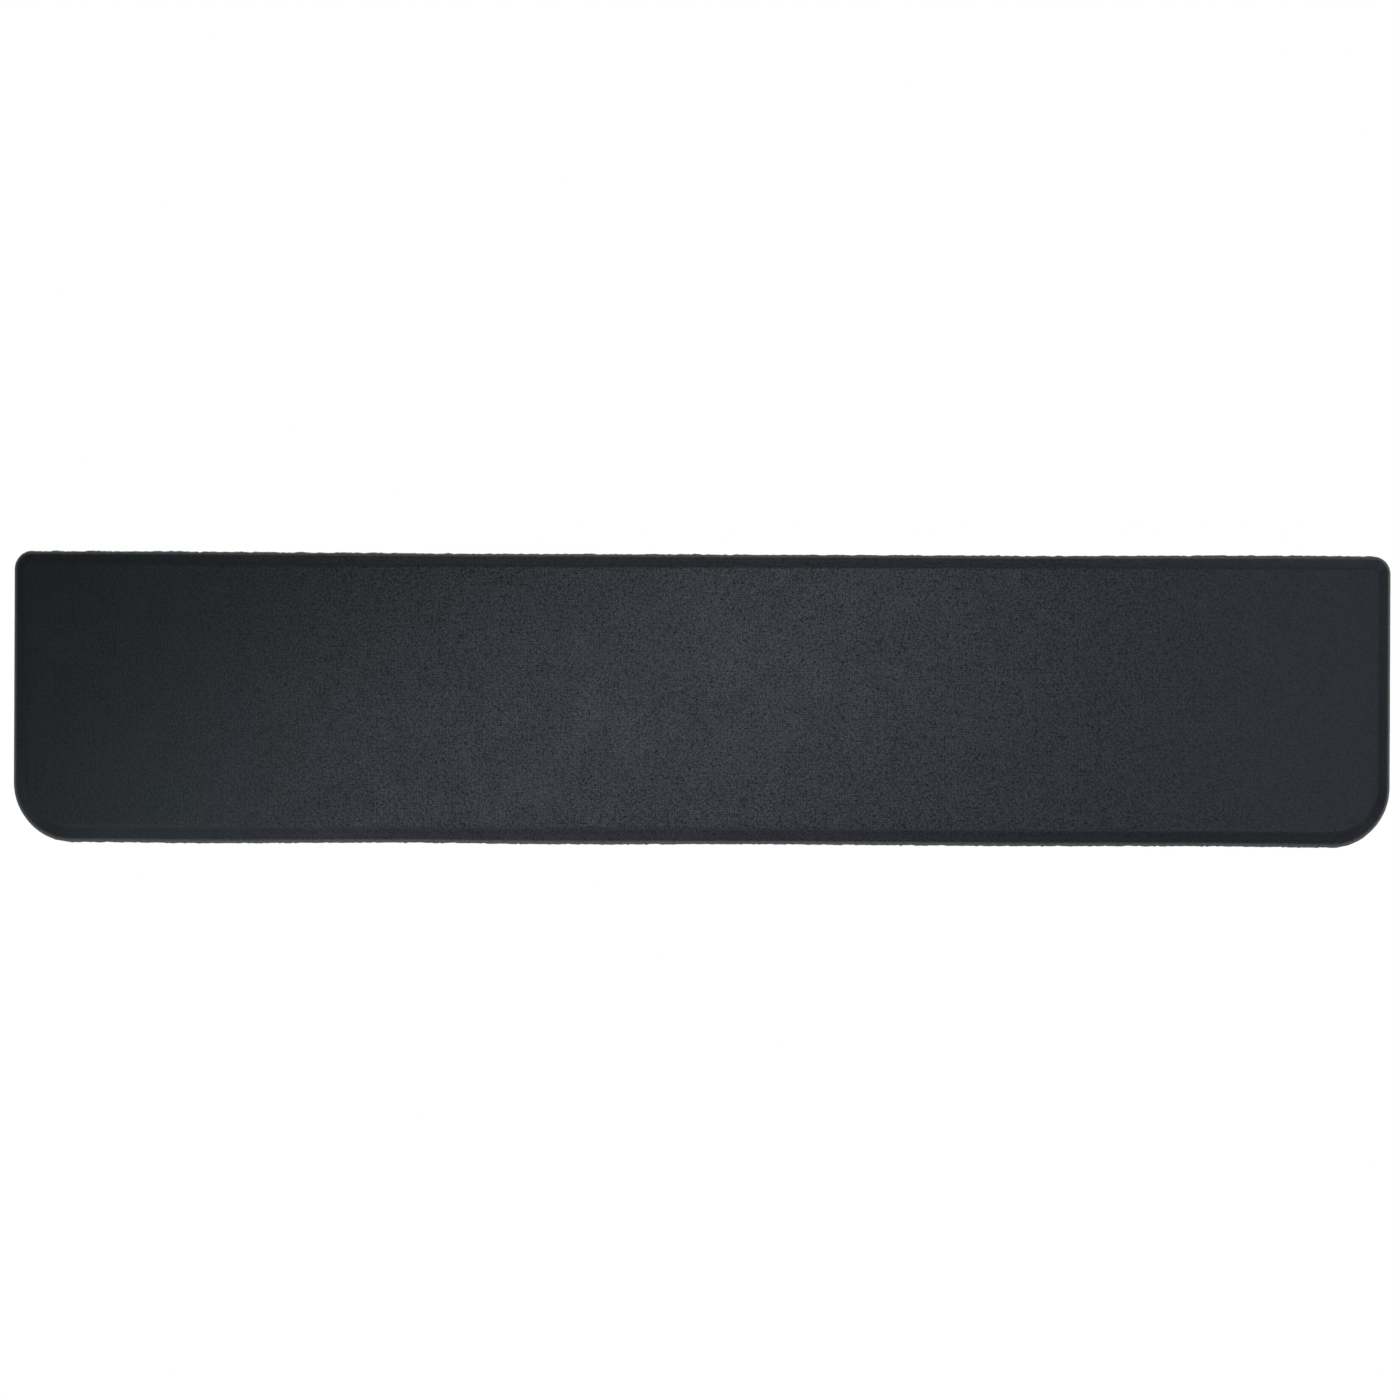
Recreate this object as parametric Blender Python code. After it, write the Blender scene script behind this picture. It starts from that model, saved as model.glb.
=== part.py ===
"""A wrapped kick plate for the foot of a door.

A rigid board with a wide, shallow bevel all round is wrapped in a vinyl skin with a leather
grain. The skin turns over the rim and is hemmed on the back, slit where it goes round the
corners. A backing sheet fills the window inside the hem, and five strips of foam tape hold
the plate to the door. Each strip keeps its release liner until the plate is fitted.

Frame: X runs along the width, Z is up and the front faces -Y. The origin is the middle of
the bottom edge, on the plane of the door, where the tapes' adhesive faces lie.
"""

import math

import bmesh
import bpy

# Plate: a stock size, 38 by 8 inches
PLATE_WIDTH = 0.9652
PLATE_HEIGHT = 0.2032
TOP_CORNER = 0.0120
BOTTOM_CORNER = 0.0415
PANEL_DEPTH = 0.0073  # from the face to the back of the hem

# Edge, measured on the outside of the skin
BEVEL_WIDTH = 0.0102
FACE_RISE = 0.0012  # the face sits above the middle, so the lower bevel is the wider one
BEVEL_ANGLE = math.radians(22.0)
CREST_ROUND = 0.0075  # where the face turns down into the bevel
RIM_ROUND = 0.0024  # where the bevel turns into the side
BACK_ROUND = 0.0015  # where the side turns into the hem

# Layers
GLUE_LINE = 0.0003
SKIN_THICKNESS = 0.0010
TAPE_THICKNESS = 0.0011
LINER_THICKNESS = 0.0002

# Hem on the back of the plate
HEM_WIDTH = 0.0150
WINDOW_CLEARANCE = 0.0005  # between the hem's edge and the backing sheet
SLIT_START = 0.0030  # from the rim to the closed end of a slit
SLIT_NARROW = 0.0006
SLIT_WIDE = 0.0016
SLIT_OVERRUN = 0.0020  # how far a cutter runs past the hem's edge
BOTTOM_SLITS = 5

# Tape strips
TAPE_WIDTH = 0.0190
TAPE_MARGIN = 0.0120  # from the plate's edge to the nearest tape
LONG_STRIP = 0.8800
MIDDLE_STRIP = 0.8600
END_STRIP = 0.1000
TAB_LENGTH = 0.0120  # how far a liner runs past its tape
TAB_CORNER = 0.0060

# Facets
BOTTOM_STEPS = 16
TOP_STEPS = 8
ROUND_STEPS = 4
TAB_STEPS = 6
SMALLEST_CORNER = 0.0005
SMOOTH_BELOW = math.radians(30.0)

HALF_WIDTH = PLATE_WIDTH / 2
HEM_BACK_Y = -(TAPE_THICKNESS + GLUE_LINE)
FRONT_Y = HEM_BACK_Y - PANEL_DEPTH


def clear_scene():
    for item in list(bpy.data.objects):
        bpy.data.objects.remove(item, do_unlink=True)


def make_material(name, color, roughness, metallic=0.0):
    material = bpy.data.materials.new(name)
    material.use_nodes = True
    shader = material.node_tree.nodes["Principled BSDF"]
    shader.inputs["Base Color"].default_value = (*color, 1.0)
    shader.inputs["Roughness"].default_value = roughness
    shader.inputs["Metallic"].default_value = metallic
    return material


def add_object(name, mesh_edit, material, location=(0.0, 0.0, 0.0)):
    """Turns a bmesh into a named object with one material and smooth rounded faces."""
    bmesh.ops.recalc_face_normals(mesh_edit, faces=mesh_edit.faces)
    mesh = bpy.data.meshes.new(name)
    mesh_edit.to_mesh(mesh)
    mesh_edit.free()
    mesh.materials.append(material)
    mesh.shade_smooth()
    mesh.set_sharp_from_angle(angle=SMOOTH_BELOW)
    item = bpy.data.objects.new(name, mesh)
    item.location = location
    bpy.context.scene.collection.objects.link(item)
    return item


def arc(center, radius, first, last, steps):
    """Points along an arc in the XZ plane, both ends included."""
    angles = [first + (last - first) * step / steps for step in range(steps + 1)]
    return [(center[0] + radius * math.cos(a), center[1] + radius * math.sin(a)) for a in angles]


def outline(inset, rise=0.0):
    """The plate's outline in (x, z), moved in by inset and up by rise, always as many points."""
    bottom = max(BOTTOM_CORNER - inset, SMALLEST_CORNER)
    top = max(TOP_CORNER - inset, SMALLEST_CORNER)
    bottom_x = HALF_WIDTH - inset - bottom
    bottom_z = inset + bottom + rise
    top_x = HALF_WIDTH - inset - top
    top_z = PLATE_HEIGHT - inset - top + rise
    quarter = math.pi / 2
    points = arc((bottom_x, bottom_z), bottom, -quarter, 0.0, BOTTOM_STEPS)
    points += arc((top_x, top_z), top, 0.0, quarter, TOP_STEPS)
    points += arc((-top_x, top_z), top, quarter, 2 * quarter, TOP_STEPS)
    points += arc((-bottom_x, bottom_z), bottom, 2 * quarter, 3 * quarter, BOTTOM_STEPS)
    return points


def edge_section(below):
    """The edge as (inset, rise, y), from face to back, at a distance below the skin's outside.

    Its three rounds keep their centres at every distance below, so the layers stay parallel.
    """
    quarter = math.pi / 2
    crest_inset = BEVEL_WIDTH + CREST_ROUND * math.tan(BEVEL_ANGLE / 2)
    bevel_fall = (BEVEL_WIDTH - RIM_ROUND) * math.tan(BEVEL_ANGLE)
    rim_depth = bevel_fall + RIM_ROUND / math.cos(BEVEL_ANGLE)
    rounds = (
        (crest_inset, FACE_RISE, CREST_ROUND, CREST_ROUND, 0.0, BEVEL_ANGLE),
        (RIM_ROUND, 0.0, rim_depth, RIM_ROUND, BEVEL_ANGLE, quarter),
        (BACK_ROUND, 0.0, PANEL_DEPTH - BACK_ROUND, BACK_ROUND, quarter, 2 * quarter),
    )
    section = []
    for center_inset, rise, center_depth, radius, first, last in rounds:
        reach = radius - below
        for step in range(ROUND_STEPS + 1):
            angle = first + (last - first) * step / ROUND_STEPS
            inset = center_inset - reach * math.sin(angle)
            section.append((inset, rise, FRONT_Y + center_depth - reach * math.cos(angle)))
    return section


def loft(section):
    """A closed body through the plate's outline at each (inset, rise, y), flat at both ends."""
    mesh_edit = bmesh.new()
    rings = []
    for inset, rise, y in section:
        rings.append([mesh_edit.verts.new((x, y, z)) for x, z in outline(inset, rise)])
    for ring, following in zip(rings, rings[1:]):
        for i in range(len(ring)):
            j = (i + 1) % len(ring)
            mesh_edit.faces.new((ring[i], ring[j], following[j], following[i]))
    mesh_edit.faces.new(rings[0])
    mesh_edit.faces.new(list(reversed(rings[-1])))
    return mesh_edit


def extrude_outline(points, y_low, y_high):
    """A closed prism on an (x, z) outline between two values of y."""
    mesh_edit = bmesh.new()
    face = mesh_edit.faces.new([mesh_edit.verts.new((x, y_low, z)) for x, z in points])
    result = bmesh.ops.extrude_face_region(mesh_edit, geom=[face], use_keep_orig=True)
    moved = [part for part in result["geom"] if isinstance(part, bmesh.types.BMVert)]
    bmesh.ops.translate(mesh_edit, verts=moved, vec=(0.0, y_high - y_low, 0.0))
    return mesh_edit


def slit_outline(center, angle, near, far):
    """A narrow wedge in (x, z) that widens from the rim end, far, to the hem's edge, near."""
    along = (math.cos(angle), math.sin(angle))
    across = (-along[1], along[0])
    corners = (
        (near, -SLIT_WIDE / 2),
        (far, -SLIT_NARROW / 2),
        (far, SLIT_NARROW / 2),
        (near, SLIT_WIDE / 2),
    )
    return [
        (center[0] + reach * along[0] + side * across[0],
         center[1] + reach * along[1] + side * across[1])
        for reach, side in corners
    ]


def hem_slits():
    """Outlines of every slit: a fan round each bottom corner and a mitre at each top one."""
    slits = []
    fan_step = math.pi / 2 / BOTTOM_SLITS
    near = BOTTOM_CORNER - HEM_WIDTH - SLIT_OVERRUN
    far = BOTTOM_CORNER - SLIT_START
    for step in range(BOTTOM_SLITS):
        tilt = (step + 0.5) * fan_step
        right = (HALF_WIDTH - BOTTOM_CORNER, BOTTOM_CORNER)
        left = (-right[0], BOTTOM_CORNER)
        slits.append(slit_outline(right, -tilt, near, far))
        slits.append(slit_outline(left, math.pi + tilt, near, far))
    mitre_near = (TOP_CORNER - HEM_WIDTH) * math.sqrt(2.0) - SLIT_OVERRUN
    mitre_far = TOP_CORNER - SLIT_START
    right = (HALF_WIDTH - TOP_CORNER, PLATE_HEIGHT - TOP_CORNER)
    left = (-right[0], right[1])
    slits.append(slit_outline(right, math.pi / 4, mitre_near, mitre_far))
    slits.append(slit_outline(left, 3 * math.pi / 4, mitre_near, mitre_far))
    return slits


def make_slit_cutter():
    """One guide object that holds every slit's wedge. It stops inside the glue line."""
    y_low = HEM_BACK_Y - SKIN_THICKNESS - GLUE_LINE / 2
    y_high = HEM_BACK_Y + SKIN_THICKNESS
    joined = bmesh.new()
    for points in hem_slits():
        wedge = extrude_outline(points, y_low, y_high)
        bmesh.ops.recalc_face_normals(wedge, faces=wedge.faces)
        mesh = bpy.data.meshes.new("slit_wedge")
        wedge.to_mesh(mesh)
        wedge.free()
        joined.from_mesh(mesh)
        bpy.data.meshes.remove(mesh)
    mesh = bpy.data.meshes.new("slit_cutter")
    joined.to_mesh(mesh)
    joined.free()
    cutter = bpy.data.objects.new("slit_cutter", mesh)
    cutter.hide_render = True
    cutter.display_type = "WIRE"
    bpy.context.scene.collection.objects.link(cutter)
    return cutter


def make_core_board(material):
    """The board, bevelled like the plate, that gives it its stiffness."""
    return add_object("core_board", loft(edge_section(SKIN_THICKNESS + GLUE_LINE)), material)


def make_facing_skin(material):
    """The skin: over the face, the bevel and the rim, and hemmed on the back."""
    outside = edge_section(0.0) + [(HEM_WIDTH, 0.0, HEM_BACK_Y)]
    inside = edge_section(SKIN_THICKNESS) + [(HEM_WIDTH, 0.0, HEM_BACK_Y - SKIN_THICKNESS)]
    skin = add_object("facing_skin", loft(outside + inside[::-1]), material)
    cut = skin.modifiers.new("hem_slits", "BOOLEAN")
    cut.operation = "DIFFERENCE"
    cut.solver = "EXACT"
    cut.object = make_slit_cutter()
    return skin


def make_backing_sheet(material):
    """The sheet that fills the window inside the hem and lies flush with it."""
    points = outline(HEM_WIDTH + WINDOW_CLEARANCE)
    return add_object(
        "backing_sheet", extrude_outline(points, HEM_BACK_Y - SKIN_THICKNESS, HEM_BACK_Y), material
    )


def strip_layout():
    """Each strip's name, centre (x, z), length, and whether it stands upright."""
    edge = TAPE_MARGIN + TAPE_WIDTH / 2
    side_z = (BOTTOM_CORNER + PLATE_HEIGHT - TAPE_MARGIN - TAPE_WIDTH - TAB_LENGTH) / 2
    return (
        ("top", (0.0, PLATE_HEIGHT - edge), LONG_STRIP, False),
        ("bottom", (0.0, edge), LONG_STRIP, False),
        ("middle", (0.0, PLATE_HEIGHT / 2), MIDDLE_STRIP, False),
        ("left", (edge - HALF_WIDTH, side_z), END_STRIP, True),
        ("right", (HALF_WIDTH - edge, side_z), END_STRIP, True),
    )


def tape_outline(length):
    """A strip with square ends along X, about its own centre."""
    end = length / 2
    side = TAPE_WIDTH / 2
    return [(-end, -side), (end, -side), (end, side), (-end, side)]


def liner_outline(length):
    """The same strip with a rounded tab past its +X end, to lift it by."""
    end = length / 2
    side = TAPE_WIDTH / 2
    round_x = end + TAB_LENGTH - TAB_CORNER
    round_z = side - TAB_CORNER
    quarter = math.pi / 2
    points = [(-end, -side)]
    points += arc((round_x, -round_z), TAB_CORNER, -quarter, 0.0, TAB_STEPS)
    points += arc((round_x, round_z), TAB_CORNER, 0.0, quarter, TAB_STEPS)
    points.append((-end, side))
    return points


def upright(points):
    """Turns an outline's +X end up to +Z."""
    return [(-z, x) for x, z in points]


def make_strips(tape_material, liner_material):
    """A tape and its liner for each strip. A liner's origin is on the line it lifts along."""
    for name, (x, z), length, stands in strip_layout():
        tape_points = tape_outline(length)
        liner_points = liner_outline(length)
        if stands:
            tape_points = upright(tape_points)
            liner_points = upright(liner_points)
        tape = extrude_outline(tape_points, -TAPE_THICKNESS, 0.0)
        add_object(f"tape_{name}", tape, tape_material, (x, 0.0, z))
        liner = extrude_outline(liner_points, 0.0, LINER_THICKNESS)
        add_object(f"liner_{name}", liner, liner_material, (x, GLUE_LINE, z))


def main():
    clear_scene()
    make_core_board(make_material("rigid_board", (0.30, 0.30, 0.29), 0.70))
    make_facing_skin(make_material("grained_vinyl", (0.023, 0.025, 0.029), 0.55))
    make_backing_sheet(make_material("backing_sheet", (0.045, 0.045, 0.048), 0.85))
    make_strips(
        make_material("foam_tape", (0.016, 0.016, 0.017), 0.75),
        make_material("release_film", (0.52, 0.035, 0.028), 0.30),
    )


main()
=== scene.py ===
"""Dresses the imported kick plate: a board wrapped in leather-grain vinyl, seen square on.

The skin, the felt sheet, the foam tapes and their release liners are rebuilt as finer meshes in
the places that the CAD nodes give them. The board inside the skin keeps its mesh.
"""

import math

import bmesh
import bpy
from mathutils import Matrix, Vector, noise


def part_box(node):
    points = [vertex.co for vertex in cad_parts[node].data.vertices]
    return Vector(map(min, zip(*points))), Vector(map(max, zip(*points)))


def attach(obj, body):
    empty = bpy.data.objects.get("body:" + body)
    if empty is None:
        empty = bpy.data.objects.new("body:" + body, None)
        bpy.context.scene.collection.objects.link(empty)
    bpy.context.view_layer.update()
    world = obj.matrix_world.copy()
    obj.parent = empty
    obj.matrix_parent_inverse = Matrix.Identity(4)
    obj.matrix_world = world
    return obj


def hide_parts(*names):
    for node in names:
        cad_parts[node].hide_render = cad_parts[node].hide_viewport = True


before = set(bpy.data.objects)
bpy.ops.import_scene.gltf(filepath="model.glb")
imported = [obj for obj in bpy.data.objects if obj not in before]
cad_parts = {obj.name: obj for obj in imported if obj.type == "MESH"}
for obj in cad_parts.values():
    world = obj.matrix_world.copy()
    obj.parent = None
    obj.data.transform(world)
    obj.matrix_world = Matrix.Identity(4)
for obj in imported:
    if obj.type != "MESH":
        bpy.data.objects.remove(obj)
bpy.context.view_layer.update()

SKIN_LOW, SKIN_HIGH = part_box("facing_skin")
FELT_LOW, FELT_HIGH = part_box("backing_sheet")
MM = 0.001
QUARTER = math.pi / 2

# The plate's outline and edge
HALF_WIDTH = (SKIN_HIGH.x - SKIN_LOW.x) / 2
HEIGHT = SKIN_HIGH.z - SKIN_LOW.z
FRONT_Y = SKIN_LOW.y
BACK_Y = SKIN_HIGH.y
DEPTH = BACK_Y - FRONT_Y
BOTTOM_CORNER = 41.5 * MM
TOP_CORNER = 12.0 * MM
SMALLEST_CORNER = 0.5 * MM
BEVEL_WIDTH = 10.2 * MM
BEVEL_ANGLE = math.radians(22.0)
FACE_RISE = 1.2 * MM  # the face sits above the middle of the outline
CREST_ROUND = 7.5 * MM
RIM_ROUND = 2.4 * MM
BACK_ROUND = 1.5 * MM
EDGE_STAND = 0.20 * MM  # how far the wrapped long edges stand out at the middle
EDGE_BOW = 0.50 * MM  # and how much further at the ends
EDGE_WAVES = 0.65 * MM  # the slow waves in both, from wrapping by hand
WAVE_LENGTH = 160.0 * MM
PULL_DEPTH = 0.38 * MM  # how far the skin's pulls draw the bottom edge in and let it out
PULL_PLACE = 69.0 * MM  # where one of those pulls is
PULL_SPACING = 279.0 * MM
CREST_WEAR = 0.03  # how pale the crest of the bevel is rubbed
RIM_WIDTH = 3.0 * MM  # how far in the rim's texture reaches
RIM_FINE = 0.60 * MM  # how far that texture's short and long bumps reach
RIM_COARSE = 0.34 * MM
RIM_HIGHLIGHT_FROM = 0.6 * MM  # up to here in from the rim the painted highlight is at its strongest
RIM_HIGHLIGHT_TO = 3.3 * MM  # and from here in there is no painted highlight, only the vinyl's own colour
RIM_HIGHLIGHT_RIGHT = 1.0  # how strong the painted highlight on each edge's rim is
RIM_HIGHLIGHT_LEFT = 0.70
RIM_HIGHLIGHT_TOP = 0.45
RIM_HIGHLIGHT_BOTTOM = 0.62
BACK_STRETCH = 0.6  # how stretched the vinyl is where it turns to the back
FACE_DIP = 0.06 * MM  # how far the face dips on average, and how unevenly
FACE_UNEVEN = 0.05 * MM
FACE_FLAT = 10.0 * MM  # within this of the outline the face doesn't dip
FACE_FADE = 25.0 * MM  # and over this much more it comes to its full dip

# The hem on the back
SKIN_THICKNESS = 1.0 * MM
FELT_GAP = 0.5 * MM  # between the hem's free edge and the felt
HEM_WIDTH = HALF_WIDTH - FELT_HIGH.x - FELT_GAP
HEM_WAVE = 0.35 * MM  # how unevenly its free edge is cut
HEM_PUCKER = 0.10 * MM  # how far it sinks under the back's plane
EDGE_REACH = 0.5 * MM  # a point this near an edge's ring counts as on that edge
SLIT_START = 3.0 * MM
SLIT_NARROW = 0.6 * MM
SLIT_WIDE = 1.6 * MM
SLIT_OVERRUN = 2.0 * MM
BOTTOM_SLITS = 5

# How finely the skin is cut
SKIN_STEPS = (16, 44, 8)
SKIN_COLUMNS = 480
CREST_STEPS = 6
BEVEL_STEPS = 5
RIM_STEPS = 6
HEM_STEPS = 6


# --- shapes --------------------------------------------------------------------------------


def wave(x, z, length, seed):
    """Smooth noise between about -1 and 1, with features of the given length."""
    return noise.noise(Vector((x / length, z / length, seed)))


def rounded_side(half_width, height, bottom, top, inset, steps):
    """Half-width and height of each level up one side of a rounded rectangle, moved in by inset.

    steps holds the number of levels in the bottom corner, the straight and the top corner.
    """
    bottom = max(bottom - inset, SMALLEST_CORNER)
    top = max(top - inset, SMALLEST_CORNER)
    bottom_steps, straight_steps, top_steps = steps
    low = inset + bottom
    high = height - inset - top
    levels = []
    for step in range(bottom_steps + 1):
        angle = QUARTER * (step / bottom_steps - 1.0)
        width = half_width - inset - bottom + bottom * math.cos(angle)
        levels.append((width, low + bottom * math.sin(angle)))
    for step in range(1, straight_steps):
        levels.append((half_width - inset, low + (high - low) * step / straight_steps))
    for step in range(top_steps + 1):
        angle = QUARTER * step / top_steps
        width = half_width - inset - top + top * math.cos(angle)
        levels.append((width, high + top * math.sin(angle)))
    return levels


def plate_levels(inset, rise=0.0, steps=SKIN_STEPS):
    """The levels up the plate's side, moved in by inset and up by rise."""
    levels = rounded_side(HALF_WIDTH, HEIGHT, BOTTOM_CORNER, TOP_CORNER, inset, steps)
    return [(width, z + rise) for width, z in levels]


def shares(columns):
    """Evenly spaced places from -1 to 1."""
    return [2.0 * column / columns - 1.0 for column in range(columns + 1)]


def loop_round(levels, columns):
    """One closed loop of (x, z) round those levels, with the long runs cut into columns."""
    low_width, low_z = levels[0]
    high_width, high_z = levels[-1]
    loop = [(u * low_width, low_z) for u in shares(columns)]
    loop += [(width, z) for width, z in levels[1:]]
    loop += [(u * high_width, high_z) for u in shares(columns)[-2::-1]]
    loop += [(-width, z) for width, z in levels[-2:0:-1]]
    return loop


def make_mesh(name, verts, faces, attributes=(), slots=None, smooth_below=35.0):
    """An object from points and faces, with all faces turned outward and rounds shaded smooth."""
    mesh = bpy.data.meshes.new(name)
    mesh.from_pydata(verts, [], faces)
    for key, values in attributes:
        mesh.attributes.new(key, "FLOAT", "POINT").data.foreach_set("value", values)
    if slots:
        mesh.polygons.foreach_set("material_index", slots)
    turned = bmesh.new()
    turned.from_mesh(mesh)
    bmesh.ops.recalc_face_normals(turned, faces=turned.faces)
    turned.to_mesh(mesh)
    turned.free()
    mesh.shade_smooth()
    mesh.set_sharp_from_angle(angle=math.radians(smooth_below))
    piece = bpy.data.objects.new(name, mesh)
    bpy.context.scene.collection.objects.link(piece)
    return piece


def place_piece(piece, body, slot, node, *materials):
    """Gives a piece its materials and the body it rides on, and hides the CAD node that it stands for."""
    for material in materials:
        piece.data.materials.append(material)
    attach(piece, body)
    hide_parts(node)


def sheet_faces(rows, columns):
    """Faces of a closed sheet: its back grid, its front grid and the wall round them."""
    faces = []
    front = rows * columns
    for row in range(rows - 1):
        for column in range(columns - 1):
            a = row * columns + column
            b = a + 1
            c = b + columns
            d = a + columns
            faces.append((a, d, c, b))
            faces.append((front + a, front + b, front + c, front + d))
    rim = list(range(columns))
    rim += [row * columns + columns - 1 for row in range(1, rows)]
    rim += [(rows - 1) * columns + column for column in range(columns - 2, -1, -1)]
    rim += [row * columns for row in range(rows - 2, 0, -1)]
    for a, b in zip(rim, rim[1:] + rim[:1]):
        faces.append((a, b, front + b, front + a))
    return faces


# --- skin ----------------------------------------------------------------------------------


def skin_section():
    """The edge of the skin as (inset, rise, depth, band), from the face to the hem's edge.

    band is 1 on the bevel and rim, where the vinyl is stretched smooth.
    """
    crest_inset = BEVEL_WIDTH + CREST_ROUND * math.tan(BEVEL_ANGLE / 2)
    rim_depth = (BEVEL_WIDTH - RIM_ROUND) * math.tan(BEVEL_ANGLE) + RIM_ROUND / math.cos(BEVEL_ANGLE)
    section = []
    for step in range(CREST_STEPS + 1):
        share = step / CREST_STEPS
        angle = BEVEL_ANGLE * share
        inset = crest_inset - CREST_ROUND * math.sin(angle)
        depth = CREST_ROUND * (1.0 - math.cos(angle))
        section.append((inset, FACE_RISE, depth, share))
    crest_end = section[-1]
    rim = []
    for step in range(RIM_STEPS + 1):
        angle = BEVEL_ANGLE + (QUARTER - BEVEL_ANGLE) * step / RIM_STEPS
        inset = RIM_ROUND * (1.0 - math.sin(angle))
        rim.append((inset, 0.0, rim_depth - RIM_ROUND * math.cos(angle), 1.0))
    for step in range(1, BEVEL_STEPS):
        share = step / BEVEL_STEPS
        section.append(tuple(a + (b - a) * share for a, b in zip(crest_end, rim[0])))
    section += rim
    for step in range(RIM_STEPS + 1):
        angle = QUARTER * (1.0 + step / RIM_STEPS)
        inset = BACK_ROUND * (1.0 - math.sin(angle))
        depth = DEPTH - BACK_ROUND * (1.0 + math.cos(angle))
        section.append((inset, 0.0, depth, BACK_STRETCH * (1.0 - step / RIM_STEPS)))
    for step in range(1, HEM_STEPS + 1):
        inset = BACK_ROUND + (HEM_WIDTH - BACK_ROUND) * step / HEM_STEPS
        section.append((inset, 0.0, DEPTH, 0.0))
    return section


def rim_highlight(x, z):
    """The rim's painted highlight there, turning smoothly from edge to edge round the corners."""
    up = faces_up(x, z)
    side = RIM_HIGHLIGHT_RIGHT if x > 0.0 else RIM_HIGHLIGHT_LEFT
    end = RIM_HIGHLIGHT_TOP if up > 0.0 else RIM_HIGHLIGHT_BOTTOM
    return side + (end - side) * up ** 2


def wear_and_rim_highlight(x, z, inset, band):
    """How pale the vinyl is: rubbed a little on the crest, with a painted highlight round the front rim.
    """
    if inset > BEVEL_WIDTH / 2:
        return CREST_WEAR * math.sin(math.pi * band)
    if band < 1.0:
        return 0.0
    share = min(1.0, max(0.0, (inset - RIM_HIGHLIGHT_FROM) / (RIM_HIGHLIGHT_TO - RIM_HIGHLIGHT_FROM)))
    return rim_highlight(x, z) * (1.0 - share * share * (3.0 - 2.0 * share))


def skin_lining():
    """The hidden inside of the skin as (inset, depth), from the hem's edge back to the face."""
    inside = DEPTH - SKIN_THICKNESS
    return [
        (HEM_WIDTH, inside),
        (SKIN_THICKNESS + BACK_ROUND, inside),
        (SKIN_THICKNESS, inside - BACK_ROUND / 2),
        (SKIN_THICKNESS, inside - BACK_ROUND),
        (BEVEL_WIDTH, SKIN_THICKNESS * 1.1),
    ]


def face_depth(x, z):
    """How far the face dips behind the front plane: a very shallow unevenness, none at its edge."""
    margin = min(HALF_WIDTH - abs(x), z, HEIGHT - z) - FACE_FLAT
    fade = min(1.0, max(0.0, margin / FACE_FADE))
    return fade * (FACE_DIP + FACE_UNEVEN * wave(x, z, 60.0 * MM, 1.3))


def edge_wander(x, z):
    """How far a wrapped long edge stands out: its bow and the slow waves of hand wrapping."""
    bow = EDGE_STAND + EDGE_BOW * (x / HALF_WIDTH) ** 2
    if z > HEIGHT / 2:
        return bow + EDGE_WAVES * wave(x, 0.0, WAVE_LENGTH, 6.3)
    pulled = PULL_DEPTH * math.cos(2.0 * math.pi * (x - PULL_PLACE) / PULL_SPACING)
    return bow - pulled + EDGE_WAVES * wave(x, 0.0, WAVE_LENGTH, 2.9)


def rim_texture(x, z):
    """How far the wrapped rim stands in or out, from the vinyl's own texture."""
    fine = wave(x, z, 2.2 * MM, 3.1)
    coarse = wave(x, z, 7.5 * MM, 7.7)
    return RIM_FINE * fine + RIM_COARSE * coarse


def faces_up(x, z):
    """Which way the outline faces there: 1 on the top edge, -1 on the bottom one, 0 at the sides."""
    corner = TOP_CORNER if z > HEIGHT / 2 else BOTTOM_CORNER
    across = max(0.0, abs(x) - HALF_WIDTH + corner)
    above = max(0.0, z - HEIGHT + corner) if z > HEIGHT / 2 else min(0.0, z - corner)
    return above / math.hypot(across, above) if above else 0.0


def edge_point(x, z, inset, depth):
    """A point of the edge or hem, moved by the rim's texture or by the hem's uneven cut."""
    up = 1.0 if z > HEIGHT / 2 else -1.0
    near_long_edge = min(z, HEIGHT - z) < inset + EDGE_REACH
    if inset < BEVEL_WIDTH:
        moved = edge_wander(x, z) * (1.0 - inset / BEVEL_WIDTH)
        if inset < RIM_WIDTH and depth < DEPTH:
            moved += rim_texture(x, z) * (1.0 - inset / RIM_WIDTH)
        z += moved * up * faces_up(x, z) ** 2
    on_hem = max(0.0, (inset - BACK_ROUND) / (HEM_WIDTH - BACK_ROUND))
    if depth == DEPTH and on_hem > 0.0:
        shift = HEM_WAVE * wave(x, z, 22.0 * MM, 5.2) * on_hem ** 2
        z -= up * shift if near_long_edge else 0.0
        x -= math.copysign(shift, x) if HALF_WIDTH - abs(x) < inset + EDGE_REACH else 0.0
        depth -= HEM_PUCKER * abs(wave(x, z, 9.0 * MM, 8.8)) * on_hem
    return (x, FRONT_Y + depth, z)


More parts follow.
